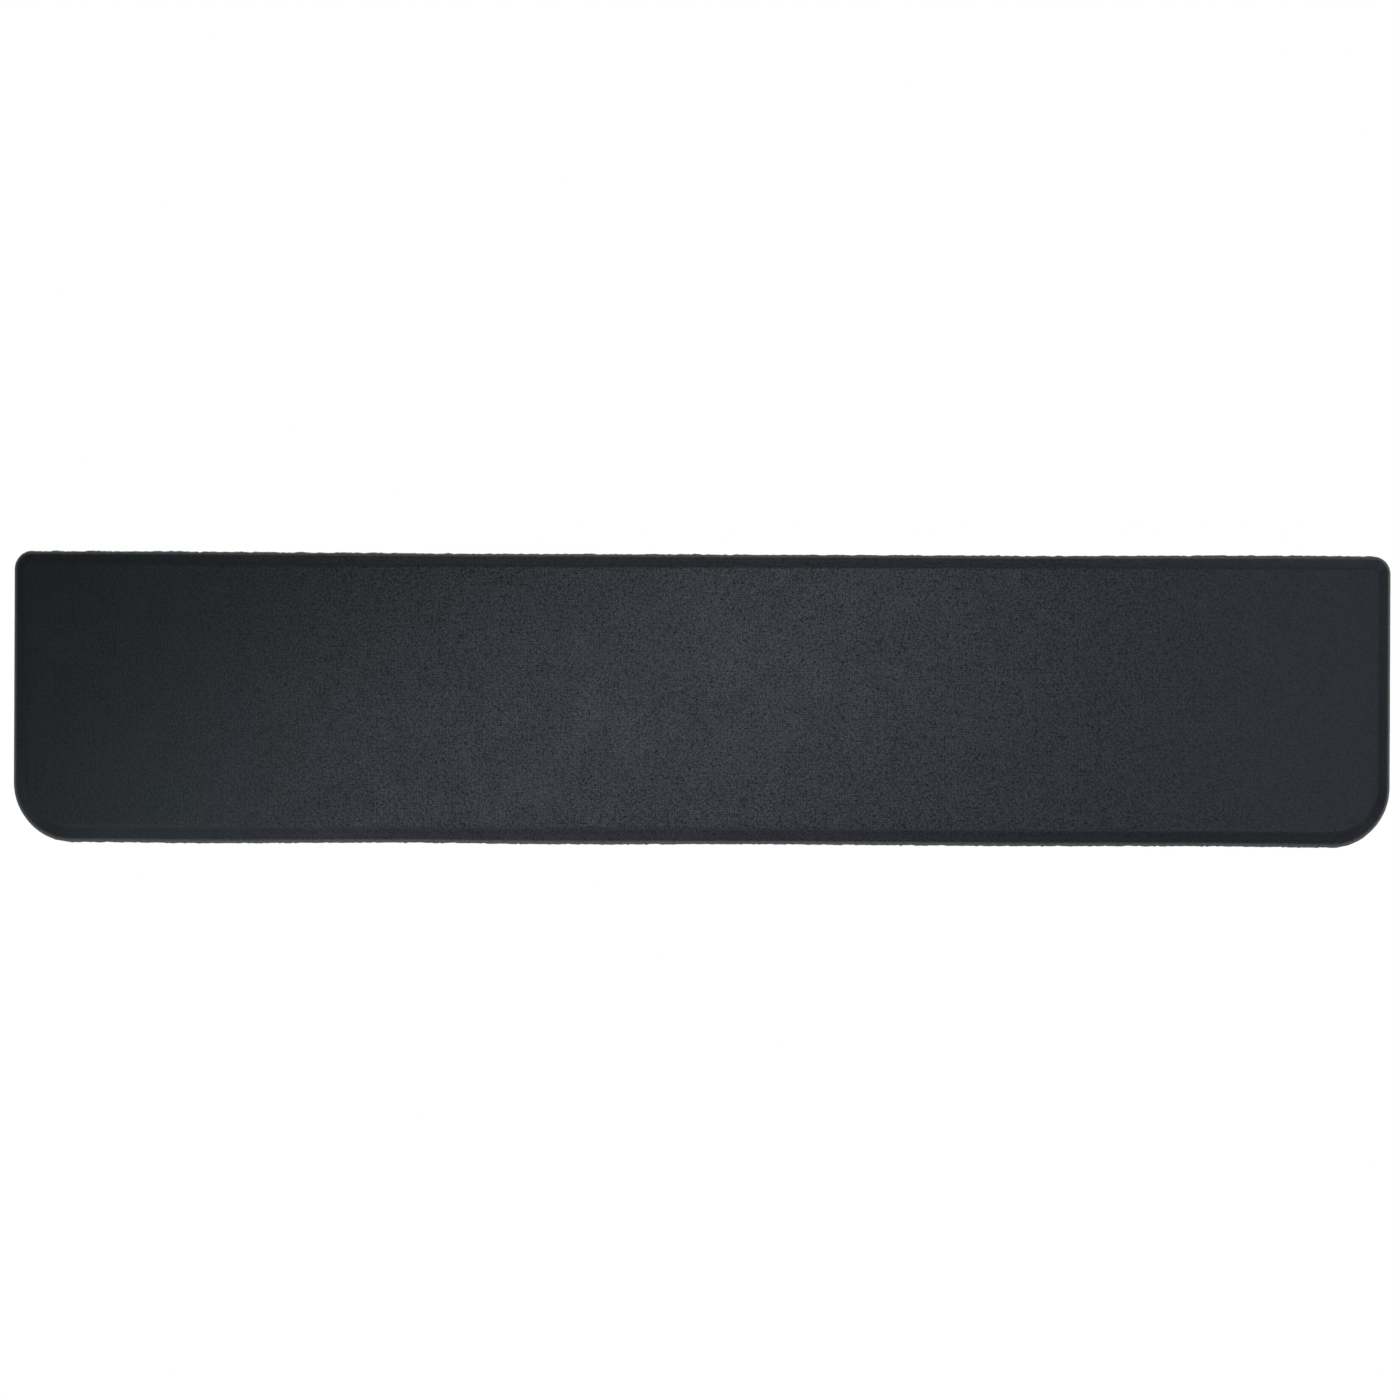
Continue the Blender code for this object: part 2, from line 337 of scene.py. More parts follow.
def skin_mesh():
    """Points, faces, slots, band and paleness of the whole skin, before its hem is slit."""
    section = skin_section()
    verts, faces, band, pale = [], [], [], []
    grid = []
    for width, z in plate_levels(section[0][0], FACE_RISE):
        row = []
        for u in shares(SKIN_COLUMNS):
            row.append(len(verts))
            verts.append((u * width, FRONT_Y + face_depth(u * width, z), z))
            band.append(0.0)
            pale.append(0.0)
        grid.append(row)
    for lower, upper in zip(grid, grid[1:]):
        for i in range(SKIN_COLUMNS):
            faces.append((lower[i], lower[i + 1], upper[i + 1], upper[i]))
    ring = grid[0] + [row[-1] for row in grid[1:]]
    ring += grid[-1][-2::-1] + [row[0] for row in grid[-2:0:-1]]
    rings = [ring]
    lining = [(inset, 0.0, depth, 0.0) for inset, depth in skin_lining()]
    for inset, rise, depth, stretched in section[1:] + lining:
        rings.append(list(range(len(verts), len(verts) + len(ring))))
        for x, z in loop_round(plate_levels(inset, rise), SKIN_COLUMNS):
            verts.append(edge_point(x, z, inset, depth))
            band.append(stretched)
            pale.append(wear_and_rim_highlight(x, z, inset, stretched))
    slots = [0] * len(faces)
    for index, (inner, outer) in enumerate(zip(rings, rings[1:])):
        for i in range(len(ring)):
            j = (i + 1) % len(ring)
            faces.append((inner[j], inner[i], outer[i], outer[j]))
            slots.append(1 if index >= len(section) - 1 else 0)
    faces.append(tuple(rings[-1]))
    slots.append(1)
    return verts, faces, slots, band, pale


def slit_wedge(center, angle, near, far):
    """Corners in (x, z) of a wedge that widens from the rim end, far, to the hem's edge, near."""
    corners = ((near, -SLIT_WIDE), (far, -SLIT_NARROW), (far, SLIT_NARROW), (near, SLIT_WIDE))
    along = Vector((math.cos(angle), math.sin(angle)))
    across = Vector((-along.y, along.x))
    return [Vector(center) + along * reach + across * (side / 2) for reach, side in corners]


def slit_wedges():
    """Every slit's wedge: a fan round each bottom corner and a mitre at each top one."""
    wedges = []
    near = BOTTOM_CORNER - HEM_WIDTH - SLIT_OVERRUN
    mitre_near = (TOP_CORNER - HEM_WIDTH) * math.sqrt(2.0) - SLIT_OVERRUN
    for side in (1.0, -1.0):
        corner = (side * (HALF_WIDTH - BOTTOM_CORNER), BOTTOM_CORNER)
        for step in range(BOTTOM_SLITS):
            tilt = -QUARTER * (step + 0.5) / BOTTOM_SLITS
            angle = tilt if side > 0 else math.pi - tilt
            wedges.append(slit_wedge(corner, angle, near, BOTTOM_CORNER - SLIT_START))
        corner = (side * (HALF_WIDTH - TOP_CORNER), HEIGHT - TOP_CORNER)
        angle = QUARTER - side * QUARTER / 2
        wedges.append(slit_wedge(corner, angle, mitre_near, TOP_CORNER - SLIT_START))
    return wedges


def cut_hem(skin, cut_material):
    """Cuts the slits through the hem, and shows the knit backing where they are cut."""
    verts, faces = [], []
    for wedge in slit_wedges():
        first = len(verts)
        for y in (BACK_Y - 1.2 * SKIN_THICKNESS, BACK_Y + SKIN_THICKNESS):
            verts += [(corner.x, y, corner.y) for corner in wedge]
        faces.append(tuple(range(first, first + 4)))
        faces.append(tuple(range(first + 7, first + 3, -1)))
        for i in range(4):
            j = (i + 1) % 4
            faces.append((first + i, first + j, first + 4 + j, first + 4 + i))
    cutter = make_mesh("slit_cutter", verts, faces)
    cutter.data.materials.append(cut_material)
    cut = skin.modifiers.new("hem_slits", "BOOLEAN")
    cut.operation = "DIFFERENCE"
    cut.solver = "EXACT"
    cut.material_mode = "TRANSFER"
    cut.object = cutter
    bpy.context.view_layer.objects.active = skin
    bpy.ops.object.modifier_apply(modifier=cut.name)
    bpy.data.objects.remove(cutter, do_unlink=True)


def make_skin():
    """The vinyl skin over face, bevel, rim and hem."""
    verts, faces, slots, band, pale = skin_mesh()
    # pale holds the crest's wear and the rim's painted highlight
    skin = make_mesh("wrapped_skin", verts, faces, (("band", band), ("pale", pale)), slots)
    knit = knit_material()
    place_piece(skin, "plate", "grained_vinyl", "facing_skin", vinyl_material(), knit)
    cut_hem(skin, knit)


# --- back ----------------------------------------------------------------------------------

FELT_STEPS = (10, 40, 6)
FELT_COLUMNS = 260
FELT_CUT = 0.22 * MM  # how unevenly its edge is cut
FELT_SINK = 0.10 * MM  # how far it lies under its plane on average, and how unevenly
FELT_SWELL = 0.07 * MM
FELT_NAP = 0.03 * MM


def felt_edge(x, z):
    """How unevenly the felt's edge is cut."""
    return FELT_CUT * wave(x, z, 6.0 * MM, 2.4)


def felt_rows():
    """The felt's points, row by row, out to its uneven edge."""
    levels = plate_levels(HEM_WIDTH + FELT_GAP + HEM_WAVE, steps=FELT_STEPS)
    rows = []
    for index, (width, z) in enumerate(levels):
        end_row = index in (0, len(levels) - 1)
        row = []
        for u in shares(FELT_COLUMNS):
            x = u * (width + felt_edge(0.0, z))
            row.append((x, z + felt_edge(x, z) if end_row else z))
        rows.append(row)
    return rows


def make_felt():
    """The thin felt sheet, a little uneven, that fills the window inside the hem."""
    rows = felt_rows()
    verts = []
    for row in rows:
        for x, z in row:
            swell = FELT_SWELL * wave(x, z, 25.0 * MM, 4.1)
            nap = FELT_NAP * wave(x, z, 4.0 * MM, 9.4)
            verts.append((x, FELT_HIGH.y - FELT_SINK - swell - nap, z))
    for row in rows:
        verts += [(x, FELT_LOW.y, z) for x, z in row]
    felt = make_mesh("felt_backing", verts, sheet_faces(len(rows), FELT_COLUMNS + 1))
    place_piece(felt, "plate", "backing_sheet", "backing_sheet", felt_material())


TAPE_INNER_Y = BACK_Y + 0.02 * MM
TAPE_OUTER_Y = -0.02 * MM
TAPE_BULGE = 0.12 * MM
TAPE_ROUND = 0.22 * MM
TAPE_ROUND_STEPS = 3
TAPE_WANDER = 0.10 * MM
TAPE_STATION = 3.0 * MM
LINER_LIFT = 0.04 * MM  # from the adhesive's plane to the film
LINER_FILM = 0.10 * MM
LINER_STATION = 3.5 * MM
LINER_COLUMNS = 10
LINER_BLISTER = 0.34 * MM  # how far its blisters, ripples and edges stand off
LINER_RIPPLE = 0.05 * MM
LINER_EDGE = 0.05 * MM
LINER_PALE_LIFT = 0.12 * MM  # lifted this far, the film looks its palest
TAB_CURL = 1.4 * MM
TAB_CORNER = 6.0 * MM
TAB_STEPS = 8


class Strip:
    """One strip's place on the back: its centre, half-length and half-width, and its direction."""

    def __init__(self, name):
        self.name = name
        low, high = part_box("tape_" + name)
        size = high - low
        self.center = (low + high) / 2
        self.upright = size.z > size.x
        self.end = max(size.x, size.z) / 2
        self.side = min(size.x, size.z) / 2
        liner_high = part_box("liner_" + name)[1]
        self.tab = max(liner_high.x - high.x, liner_high.z - high.z)

    def point(self, along, across, y):
        """A point of the strip, given along its length, across it and by its depth."""
        if self.upright:
            return (self.center.x - across, y, self.center.z + along)
        return (self.center.x + along, y, self.center.z + across)


def tape_section(side):
    """A tape's section as (across, y): soft corners, and sides that bulge a little."""
    middle = (TAPE_INNER_Y + TAPE_OUTER_Y) / 2
    straight = (TAPE_OUTER_Y - TAPE_INNER_Y) / 2 - TAPE_ROUND
    angles = [QUARTER * step / TAPE_ROUND_STEPS for step in range(TAPE_ROUND_STEPS + 1)]
    corner = [(TAPE_ROUND * math.cos(angle), TAPE_ROUND * math.sin(angle)) for angle in angles]
    outline = [(side - TAPE_ROUND + across, -straight - y) for across, y in reversed(corner)]
    outline.append((side + TAPE_BULGE, 0.0))
    outline += [(side - TAPE_ROUND + across, straight + y) for across, y in corner]
    return [(sign * across, middle + sign * y) for sign in (1.0, -1.0) for across, y in outline]


def make_tape(strip, material):
    """A foam tape, swept along its strip, with sides that wander a little."""
    section = tape_section(strip.side)
    stations = round(2.0 * strip.end / TAPE_STATION)
    verts, faces = [], []
    for u in shares(stations):
        along = u * strip.end
        for across, y in section:
            wander = TAPE_WANDER * wave(along, across, 12.0 * MM, strip.center.z * 40.0)
            verts.append(strip.point(along, across + wander, y))
    count = len(section)
    for station in range(stations):
        for i in range(count):
            j = (i + 1) % count
            a = station * count
            faces.append((a + i, a + j, a + count + j, a + count + i))
    faces.append(tuple(range(count)))
    faces.append(tuple(range(len(verts) - 1, len(verts) - 1 - count, -1)))
    tape = make_mesh("foam_tape_" + strip.name, verts, faces)
    place_piece(tape, "plate", "foam_tape", "tape_" + strip.name, material)


def liner_stations(strip):
    """Each station along a liner as (along, half-width), closing round the tab's end."""
    straight = 2.0 * strip.end + strip.tab - TAB_CORNER
    count = round(straight / LINER_STATION)
    stations = [(-strip.end + straight * step / count, strip.side) for step in range(count + 1)]
    for step in range(1, TAB_STEPS + 1):
        angle = QUARTER * step / TAB_STEPS
        along = stations[count][0] + TAB_CORNER * math.sin(angle)
        stations.append((along, strip.side - TAB_CORNER * (1.0 - math.cos(angle))))
    return stations


def film_lift(strip, along, across):
    """How far the film stands off the adhesive: shallow blisters, and a curl at the tab."""
    seed = strip.center.x * 3.0 + strip.center.z * 50.0
    blister = max(0.0, wave(along, across * 2.0, 24.0 * MM, seed) - 0.12)
    ripple = max(0.0, wave(along, across, 9.0 * MM, seed + 3.3))
    past_tape = max(0.0, along - strip.end) / strip.tab
    edge = (across / strip.side) ** 4
    lift = LINER_LIFT + LINER_BLISTER * blister + LINER_RIPPLE * ripple + LINER_EDGE * edge
    return lift + TAB_CURL * past_tape ** 2


def make_liner(strip, material):
    """The thin release film on a tape, with a rounded tab to lift it by."""
    stations = liner_stations(strip)
    back, front, lifts = [], [], []
    for along, half_width in stations:
        for u in shares(LINER_COLUMNS):
            lift = film_lift(strip, along, u * half_width)
            back.append(strip.point(along, u * half_width, lift + LINER_FILM))
            front.append(strip.point(along, u * half_width, lift))
            lifts.append(min(1.0, (lift - LINER_LIFT) / LINER_PALE_LIFT))
    faces = sheet_faces(len(stations), LINER_COLUMNS + 1)
    name = "release_liner_" + strip.name
    liner = make_mesh(name, back + front, faces, (("lift", lifts + lifts),), smooth_below=50.0)
    place_piece(liner, "liner_" + strip.name, "release_film", "liner_" + strip.name, material)


# --- materials -----------------------------------------------------------------------------


class Nodes:
    """A material's node tree, with short calls to add and join nodes."""

    def __init__(self, name):
        self.material = bpy.data.materials.new(name)
        self.material.use_nodes = True
        self.tree = self.material.node_tree
        self.shader = self.tree.nodes["Principled BSDF"]
        self.output = self.tree.nodes["Material Output"]
        self.place = self.add("TexCoord").outputs["Object"]

    def add(self, kind, settings=None, **inputs):
        node = self.tree.nodes.new("ShaderNode" + kind)
        for key, value in (settings or {}).items():
            setattr(node, key, value)
        for key, value in inputs.items():
            self.feed(node.inputs[key.replace("_", " ")], value)
        return node

    def feed(self, socket, value):
        if isinstance(value, bpy.types.NodeSocket):
            self.tree.links.new(value, socket)
        else:
            socket.default_value = value

    def math(self, operation, a, b=0.0):
        node = self.add("Math", {"operation": operation})
        self.feed(node.inputs[0], a)
        self.feed(node.inputs[1], b)
        return node.outputs[0]

    def total(self, *parts):
        """The sum of (value, weight) pairs."""
        result = 0.0
        for value, weight in parts:
            result = self.math("ADD", result, self.math("MULTIPLY", value, weight))
        return result

    def stretched(self, lengths, turn=0.0):
        """The place, for features turned about the view axis and made so many times as long."""
        node = self.add("Mapping", {"vector_type": "TEXTURE"}, Vector=self.place)
        node.inputs["Rotation"].default_value = (0.0, turn, 0.0)
        node.inputs["Scale"].default_value = lengths
        return node.outputs["Vector"]

    def moved(self, step):
        """The place, for a pattern that is cut that far off the surface."""
        joined = self.add("VectorMath", {"operation": "ADD"})
        self.feed(joined.inputs[0], self.place)
        joined.inputs[1].default_value = step
        return joined.outputs[0]

    def bent(self, vector, scale, amount):
        """The place, pushed about by noise so that cells lose their regular look."""
        push = self.add("TexNoise", Vector=vector, Scale=scale, Detail=2.0).outputs["Color"]
        scaled = self.add("VectorMath", {"operation": "SCALE"}, Scale=amount)
        self.feed(scaled.inputs[0], push)
        joined = self.add("VectorMath", {"operation": "ADD"})
        self.feed(joined.inputs[0], vector)
        self.feed(joined.inputs[1], scaled.outputs[0])
        return joined.outputs[0]

    def noise(self, vector, scale, detail=2.0):
        return self.add("TexNoise", Vector=vector, Scale=scale, Detail=detail).outputs["Fac"]

    def cells(self, vector, scale, output="Distance", **inputs):
        return self.add("TexVoronoi", Vector=vector, Scale=scale, **inputs).outputs[output]

    def spread(self, value, low, high, to_low, to_high):
        """Maps low..high smoothly to to_low..to_high, held at both ends."""
        node = self.add("MapRange", {"interpolation_type": "SMOOTHSTEP"}, Value=value)
        limits = {"From Min": low, "From Max": high, "To Min": to_low, "To Max": to_high}
        for key, limit in limits.items():
            self.feed(node.inputs[key], limit)
        return node.outputs["Result"]

    def blend(self, share, first, second):
        """The first colour where share is 0, the second where it is 1."""
        node = self.add("Mix", {"data_type": "RGBA"})
        self.feed(node.inputs[0], share)
        for socket, color in ((6, first), (7, second)):
            is_socket = isinstance(color, bpy.types.NodeSocket)
            self.feed(node.inputs[socket], color if is_socket else (*color, 1.0))
        return node.outputs[2]

    def attribute(self, name):
        return self.add("Attribute", {"attribute_name": name}).outputs["Fac"]

    def bump(self, height, distance, strength=1.0):
        """A normal from a height whose 1 stands for distance, in metres."""
        node = self.add("Bump", Height=height, Distance=distance, Strength=strength)
        return node.outputs["Normal"]

    def finish(self, **inputs):
        for key, value in inputs.items():
            self.feed(self.shader.inputs[key.replace("_", " ")], value)
        return self.material


GRAIN_CELLS = 600.0  # pebbles in a metre
GRAIN_DEPTH = 0.10 * MM
GRAIN_SLICE = 0.3 * MM  # how far behind the face the pattern is cut, which sets its pebbles' size
GRAIN_QUIET = 0.27  # share of the grain's contrast left at the plate's two ends
GRAIN_MIDDLE = 30.0 * MM  # where across the plate the grain is clearest
GRAIN_CLEAR = 0.42 * HALF_WIDTH  # how far from there it stays so
BAND_GRAIN = 0.6  # share of the grain left on the bevel, where the vinyl is stretched
MOTTLE_PORES = 1.6  # how much the pores and the pebbles each vary the sheen
MOTTLE_PEBBLES = -1.5
MOTTLE_MEAN = -0.256  # brings that variation's mean to nothing
BASE_SHEEN = 0.5
MOTTLE_SHARE = 0.5
BAND_DULL = -0.05  # how much duller the stretched bevel is
VINYL_ROUGHNESS = 0.430
VINYL_DARK = (0.0100, 0.0112, 0.0132)
VINYL_LIGHT = (0.0122, 0.0134, 0.0158)
# pale grey for the crest's wear and for the painted highlight round the rim
WEAR_AND_HIGHLIGHT_GREY = (0.240, 0.235, 0.237)
# painted shade: the colour that the grain's grooves darken towards
GROOVE_SHADE_COLOR = (0.0060, 0.0066, 0.0078)
DUST_COLOR = (0.20, 0.21, 0.22)
SHEEN_LEFT = (0.725, 0.886, 0.984)
SHEEN_MIDDLE = (0.808, 0.845, 0.986)
SHEEN_RIGHT = (0.735, 0.840, 1.0)
SHEEN_TURNS = (-0.79, -0.53, -0.10, 0.52)  # where it turns, in half-widths: left to middle to right
SPECK_CELLS = 34.0  # places for a speck of dust in a metre
SPECK_DRAW = 0.70  # a place holds one where its random shade is above this
SPECK_RADIUS = 0.35 * MM


def vinyl_sheen(n, x):
    """The sheen's tint: green-grey at the left end, nearly neutral in the middle, then blue-grey."""
    turns = [turn * HALF_WIDTH for turn in SHEEN_TURNS]
    past_left = n.spread(x, turns[0], turns[1], 0.0, 1.0)
    to_right = n.spread(x, turns[2], turns[3], 0.0, 1.0)
    return n.blend(to_right, n.blend(past_left, SHEEN_LEFT, SHEEN_MIDDLE), SHEEN_RIGHT)


def vinyl_material():
    """Charcoal vinyl with a fine pebbled leather grain, a cool sheen and a few specks of dust."""
    n = Nodes("grained_vinyl")
    n.place = n.moved((0.0, GRAIN_SLICE, 0.0))
    bent = n.bent(n.place, 450.0, 0.3 * MM)
    pebble = n.cells(bent, GRAIN_CELLS, Randomness=0.55)
    pores = n.noise(n.place, 1500.0, 0.0)
    height = n.total((pebble, -0.8), (pores, 0.3))
    x = n.add("SeparateXYZ", Vector=n.place).outputs["X"]
    across = n.math("ABSOLUTE", n.math("SUBTRACT", x, GRAIN_MIDDLE))
    fading = n.spread(across, GRAIN_CLEAR, HALF_WIDTH, 1.0, GRAIN_QUIET)
    mottle = n.total((pores, MOTTLE_PORES), (pebble, MOTTLE_PEBBLES), (MOTTLE_MEAN, 1.0))
    stretched = n.attribute("band")
    relief = n.spread(stretched, 0.0, 1.0, 1.0, BAND_GRAIN)
    mottle = n.math("MULTIPLY", mottle, n.math("MULTIPLY", fading, relief))
    sheen = n.total((mottle, MOTTLE_SHARE), (stretched, BAND_DULL), (BASE_SHEEN, 1.0))
    color = n.blend(n.noise(n.place, 9.0, 3.0), VINYL_DARK, VINYL_LIGHT)
    # the crest's wear, and the painted highlight round the rim
    color = n.blend(n.attribute("pale"), color, WEAR_AND_HIGHLIGHT_GREY)
    # painted shade, darker down in the grooves between the pebbles
    color = n.blend(n.spread(pebble, 0.45, 0.75, 0.0, 0.35), color, GROOVE_SHADE_COLOR)
    speck_distance = n.cells(n.place, SPECK_CELLS)
    draw = n.cells(n.place, SPECK_CELLS, output="Color")
    chosen = n.spread(draw, SPECK_DRAW, SPECK_DRAW + 0.02, 0.0, 1.0)
    near = n.spread(speck_distance, 0.0, SPECK_RADIUS * SPECK_CELLS, 1.0, 0.0)
    color = n.blend(n.math("MULTIPLY", near, chosen), color, DUST_COLOR)
    cloud = n.noise(n.place, 60.0, 3.0)
    rough = n.spread(cloud, 0.3, 0.7, VINYL_ROUGHNESS - 0.02, VINYL_ROUGHNESS + 0.03)
    normal = n.bump(height, GRAIN_DEPTH, relief)
    return n.finish(Base_Color=color, Roughness=rough, Normal=normal,
                    Specular_Tint=vinyl_sheen(n, x), Specular_IOR_Level=sheen)


def knit_material():
    """The vinyl's grey knit backing, which shows on cut edges and inside the skin."""
    n = Nodes("knit_backing")
    loops = n.cells(n.stretched((1.0, 1.0, 0.62)), 1400.0)
    fibre = n.noise(n.place, 2600.0, 3.0)
    color = n.blend(fibre, (0.085, 0.085, 0.088), (0.19, 0.19, 0.19))
    normal = n.bump(n.total((loops, -0.7), (fibre, 0.4)), 0.20 * MM)
    rough = n.spread(fibre, 0.3, 0.7, 0.85, 0.97)
    return n.finish(Base_Color=color, Roughness=rough, Normal=normal)


def felt_material():
    """Dark needled felt: crossed fibres, a few pale ones, and a soft sheen."""
    n = Nodes("needled_felt")
    strands = [n.noise(n.stretched((1.0, 1.0, 10.0), turn), 2300.0, 2.0) for turn in (0.5, 1.7, 2.8)]
    mat = n.total((strands[0], 0.34), (strands[1], 0.33), (strands[2], 0.33))
    clumps = n.noise(n.place, 160.0, 3.0)
    color = n.blend(n.spread(mat, 0.40, 0.62, 0.0, 1.0), (0.018, 0.018, 0.020), (0.066, 0.066, 0.070))
    color = n.blend(n.spread(clumps, 0.35, 0.7, 0.0, 0.35), color, (0.030, 0.030, 0.034))
    pale = n.noise(n.stretched((1.0, 1.0, 16.0), 2.2), 1500.0, 1.0)
    color = n.blend(n.spread(pale, 0.70, 0.76, 0.0, 0.55), color, (0.16, 0.16, 0.165))
    normal = n.bump(n.total((mat, 0.8), (clumps, 0.5)), 0.55 * MM)
    rough = n.spread(mat, 0.4, 0.6, 0.84, 0.96)
    return n.finish(Base_Color=color, Roughness=rough, Normal=normal, Sheen_Weight=0.25)


def tape_material():
    """Black closed-cell foam: open pores on its cut sides, a tacky sheen on its faces."""
    n = Nodes("acrylic_foam")
    facing = n.add("SeparateXYZ", Vector=n.add("NewGeometry").outputs["Normal"]).outputs["Y"]
    sticky = n.spread(n.math("ABSOLUTE", facing), 0.80, 0.97, 0.0, 1.0)
    pores = n.cells(n.bent(n.place, 900.0, 0.5 * MM), 2300.0)
    cloud = n.noise(n.place, 55.0, 3.0)
    # painted shade, darker down in the foam's open pores
    color = n.blend(n.spread(pores, 0.1, 0.6, 0.0, 1.0), (0.007, 0.007, 0.008), (0.026, 0.026, 0.028))
    color = n.blend(n.math("MULTIPLY", sticky, 0.7), color, (0.013, 0.013, 0.015))
    rough = n.total((sticky, -0.42), (cloud, 0.14), (0.78, 1.0))
    height = n.total((pores, 0.8), (cloud, 0.3))
    normal = n.bump(height, 0.22 * MM, n.spread(sticky, 0.0, 1.0, 1.0, 0.22))
    return n.finish(Base_Color=color, Roughness=rough, Normal=normal)


def film_material():
    """Thin red release film: a fine cross-hatched emboss, paler where it stands off the tape."""
    n = Nodes("release_film")
    lift = n.attribute("lift")
    hatch = []
    for turn in (0.8, 2.3):
        lines = n.add("TexWave", {"wave_type": "BANDS"}, Vector=n.stretched((1.0, 1.0, 1.0), turn))
        lines.inputs["Scale"].default_value = 190.0
        lines.inputs["Distortion"].default_value = 0.6
        hatch.append(lines.outputs["Fac"])
    cloud = n.noise(n.place, 35.0, 3.0)
    streak = n.noise(n.stretched((10.0, 1.0, 1.0)), 700.0, 2.0)
    color = n.blend(cloud, (0.34, 0.012, 0.012), (0.42, 0.020, 0.018))
    color = n.blend(n.math("MULTIPLY", lift, 0.75), color, (0.60, 0.055, 0.045))
    rough = n.total((cloud, 0.10), (streak, 0.10), (lift, 0.06), (0.16, 1.0))
    height = n.total((hatch[0], 0.4), (hatch[1], 0.4), (streak, 0.25), (cloud, 2.0))
    return n.finish(Base_Color=color, Roughness=rough, Normal=n.bump(height, 0.035 * MM), Coat_Weight=0.3)


def board_material():
    """Rigid foamed PVC: matt grey, with fine open cells and faint saw marks."""
    n = Nodes("foamed_board")
    cells = n.cells(n.place, 2600.0)
    marks = n.noise(n.stretched((20.0, 1.0, 1.0)), 900.0, 2.0)
    cloud = n.noise(n.place, 40.0, 3.0)
    color = n.blend(cloud, (0.27, 0.27, 0.26), (0.33, 0.33, 0.32))
    # painted shade, darker down in the board's open cells
    color = n.blend(n.spread(cells, 0.0, 0.25, 0.5, 0.0), color, (0.20, 0.20, 0.19))
    rough = n.spread(marks, 0.3, 0.7, 0.62, 0.80)
    normal = n.bump(n.total((cells, 0.6), (marks, 0.5)), 0.15 * MM)
    return n.finish(Base_Color=color, Roughness=rough, Normal=normal)


def dress_board():
    """Gives the board inside the skin, which keeps its CAD mesh, its own material."""
    board = bpy.data.objects["core_board"]
    material = board_material()
    for slot in board.material_slots:
        slot.material = material


# --- stage ---------------------------------------------------------------------------------

FRAME_SHARE = 0.98305  # of the picture's width that the plate fills
CAMERA_DISTANCE = 1.2
CAMERA_ROLL = math.radians(-0.236)
CAMERA_SHIFT = Vector((-1.5 * MM, 0.0, -0.5 * MM))
RIM_DEPTH = 5.0 * MM  # from the face back to the rim, whose width the camera frames
MIDDLE = Vector((0.0, FRONT_Y, HEIGHT / 2))
LAMPS_Y = -1.2
FILL = 0.005  # brightness of the room in front of the plate
BACK_FILL = 0.5  # brightness of the white room behind it
FLOOR_SIZE = 16.0
FLOOR_GAP = 3.0 * MM


def make_camera():
    """The camera, square on to the plate, which fills FRAME_SHARE of the picture's width."""
    data = bpy.data.cameras.new("camera")
    data.lens = data.sensor_width * CAMERA_DISTANCE * FRAME_SHARE / (2.0 * HALF_WIDTH)
    camera = bpy.data.objects.new("camera", data)
    rim = Vector((0.0, FRONT_Y + RIM_DEPTH, HEIGHT / 2))
    camera.location = rim - Vector((0.0, CAMERA_DISTANCE, 0.0)) + CAMERA_SHIFT
    camera.rotation_euler = (QUARTER, CAMERA_ROLL, 0.0)
    bpy.context.scene.collection.objects.link(camera)
    bpy.context.scene.camera = camera


def soft_box(name, place, turn, size, watts):
    """An area lamp that the camera doesn't see."""
    data = bpy.data.lights.new(name, "AREA")
    data.shape = "RECTANGLE"
    data.size, data.size_y = size
    data.energy = watts
    box = bpy.data.objects.new(name, data)
    box.location = place
    box.rotation_euler = turn
    box.visible_camera = False
    bpy.context.scene.collection.objects.link(box)


def lamp(name, across, up, size, watts, tilt=0.0):
    """A soft box in the lamps' plane, facing square on towards the plate's plane."""
    soft_box(name, (across, LAMPS_Y, MIDDLE.z + up), (QUARTER, -tilt, 0.0), size, watts)


def back_lamp(name, place, size, watts):
    """A soft box behind the plate, facing its middle."""
    turn = (Vector(place) - MIDDLE).to_track_quat("Z", "Y").to_euler()
    soft_box(name, place, turn, size, watts)


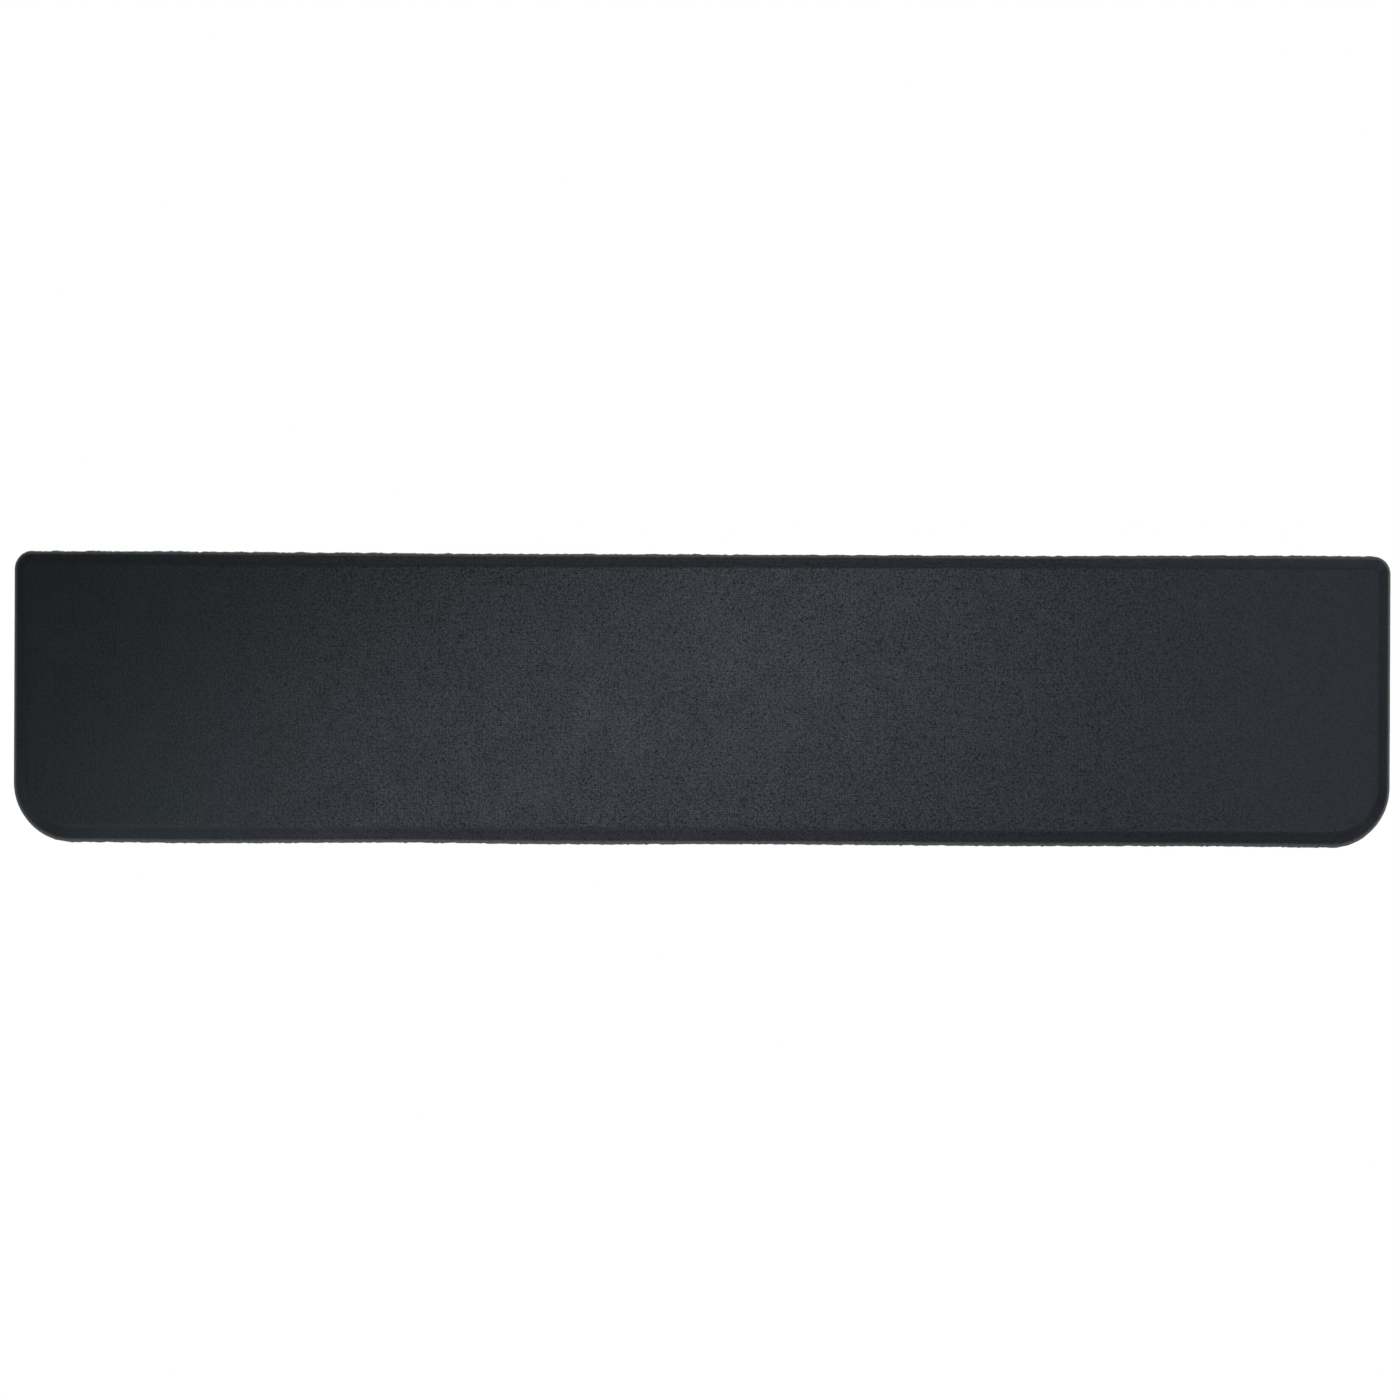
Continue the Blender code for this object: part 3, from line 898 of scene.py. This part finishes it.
def make_lamps():
    lamp("strip", -0.190, -0.08, (1.17, 0.05), 4.4, math.radians(31.0))
    lamp("right_box", 0.735, -0.30, (1.20, 1.6), 5.3)
    lamp("right_wall", 4.5, 0.2, (0.5, 0.5), 19.0)
    lamp("left_wall", -3.0, -0.40, (0.4, 0.4), 5.4)
    lamp("top_box", 0.55, 1.86, (3.0, 0.2), 16.2)
    lamp("bottom_box", -0.36, -1.30, (1.3, 1.0), 7.1)
    lamp("low_right", 2.40, -1.25, (0.7, 0.7), 5.4)
    lamp("low_left", -2.40, -1.25, (0.7, 0.7), 6.2)
    lamp("high_right", 2.48, 1.33, (0.7, 0.7), 10.0)
    lamp("high_left", -2.48, 1.33, (0.7, 0.7), 2.6)
    back_lamp("back_low", (1.2, 1.25, -0.1), (1.0, 0.9), 11.0)
    back_lamp("back_high", (-0.6, 1.1, 1.7), (1.4, 0.8), 14.0)


def make_world():
    """White to the camera. To everything else, a dim room in front and a bright one behind."""
    world = bpy.data.worlds.new("studio")
    bpy.context.scene.world = world
    world.use_nodes = True
    tree = world.node_tree
    direction = tree.nodes.new("ShaderNodeTexCoord").outputs["Generated"]
    split = tree.nodes.new("ShaderNodeSeparateXYZ")
    tree.links.new(direction, split.inputs[0])
    room = tree.nodes.new("ShaderNodeMapRange")
    room.interpolation_type = "SMOOTHSTEP"
    tree.links.new(split.outputs["Y"], room.inputs["Value"])
    limits = {"From Min": 0.0, "From Max": 0.3, "To Min": FILL, "To Max": BACK_FILL}
    for key, limit in limits.items():
        room.inputs[key].default_value = limit
    seen = tree.nodes.new("ShaderNodeLightPath").outputs["Is Camera Ray"]
    brightest = tree.nodes.new("ShaderNodeMath")
    brightest.operation = "MAXIMUM"
    tree.links.new(room.outputs["Result"], brightest.inputs[0])
    tree.links.new(seen, brightest.inputs[1])
    tree.links.new(brightest.outputs[0], tree.nodes["Background"].inputs["Color"])


def make_floor():
    """A plain white floor, just under the plate, that neither shades nor tints it."""
    place = (0.0, 0.0, SKIN_LOW.z - FLOOR_GAP)
    bpy.ops.mesh.primitive_plane_add(size=FLOOR_SIZE, location=place)
    floor = bpy.context.object
    floor.name = "floor"
    n = Nodes("floor")
    glow = n.add("Emission", Color=(1.0, 1.0, 1.0, 1.0))
    n.feed(n.output.inputs["Surface"], glow.outputs[0])
    floor.data.materials.append(n.material)
    floor.visible_diffuse = False
    floor.visible_glossy = False
    floor.visible_shadow = False


def make_back():
    """The felt, and the five tapes with their liners."""
    make_felt()
    foam = tape_material()
    film = film_material()
    for name in ("top", "bottom", "middle", "left", "right"):
        strip = Strip(name)
        make_tape(strip, foam)
        make_liner(strip, film)


make_skin()
make_back()
dress_board()
make_camera()
make_lamps()
make_world()
make_floor()
bpy.context.scene.view_settings.view_transform = "Standard"
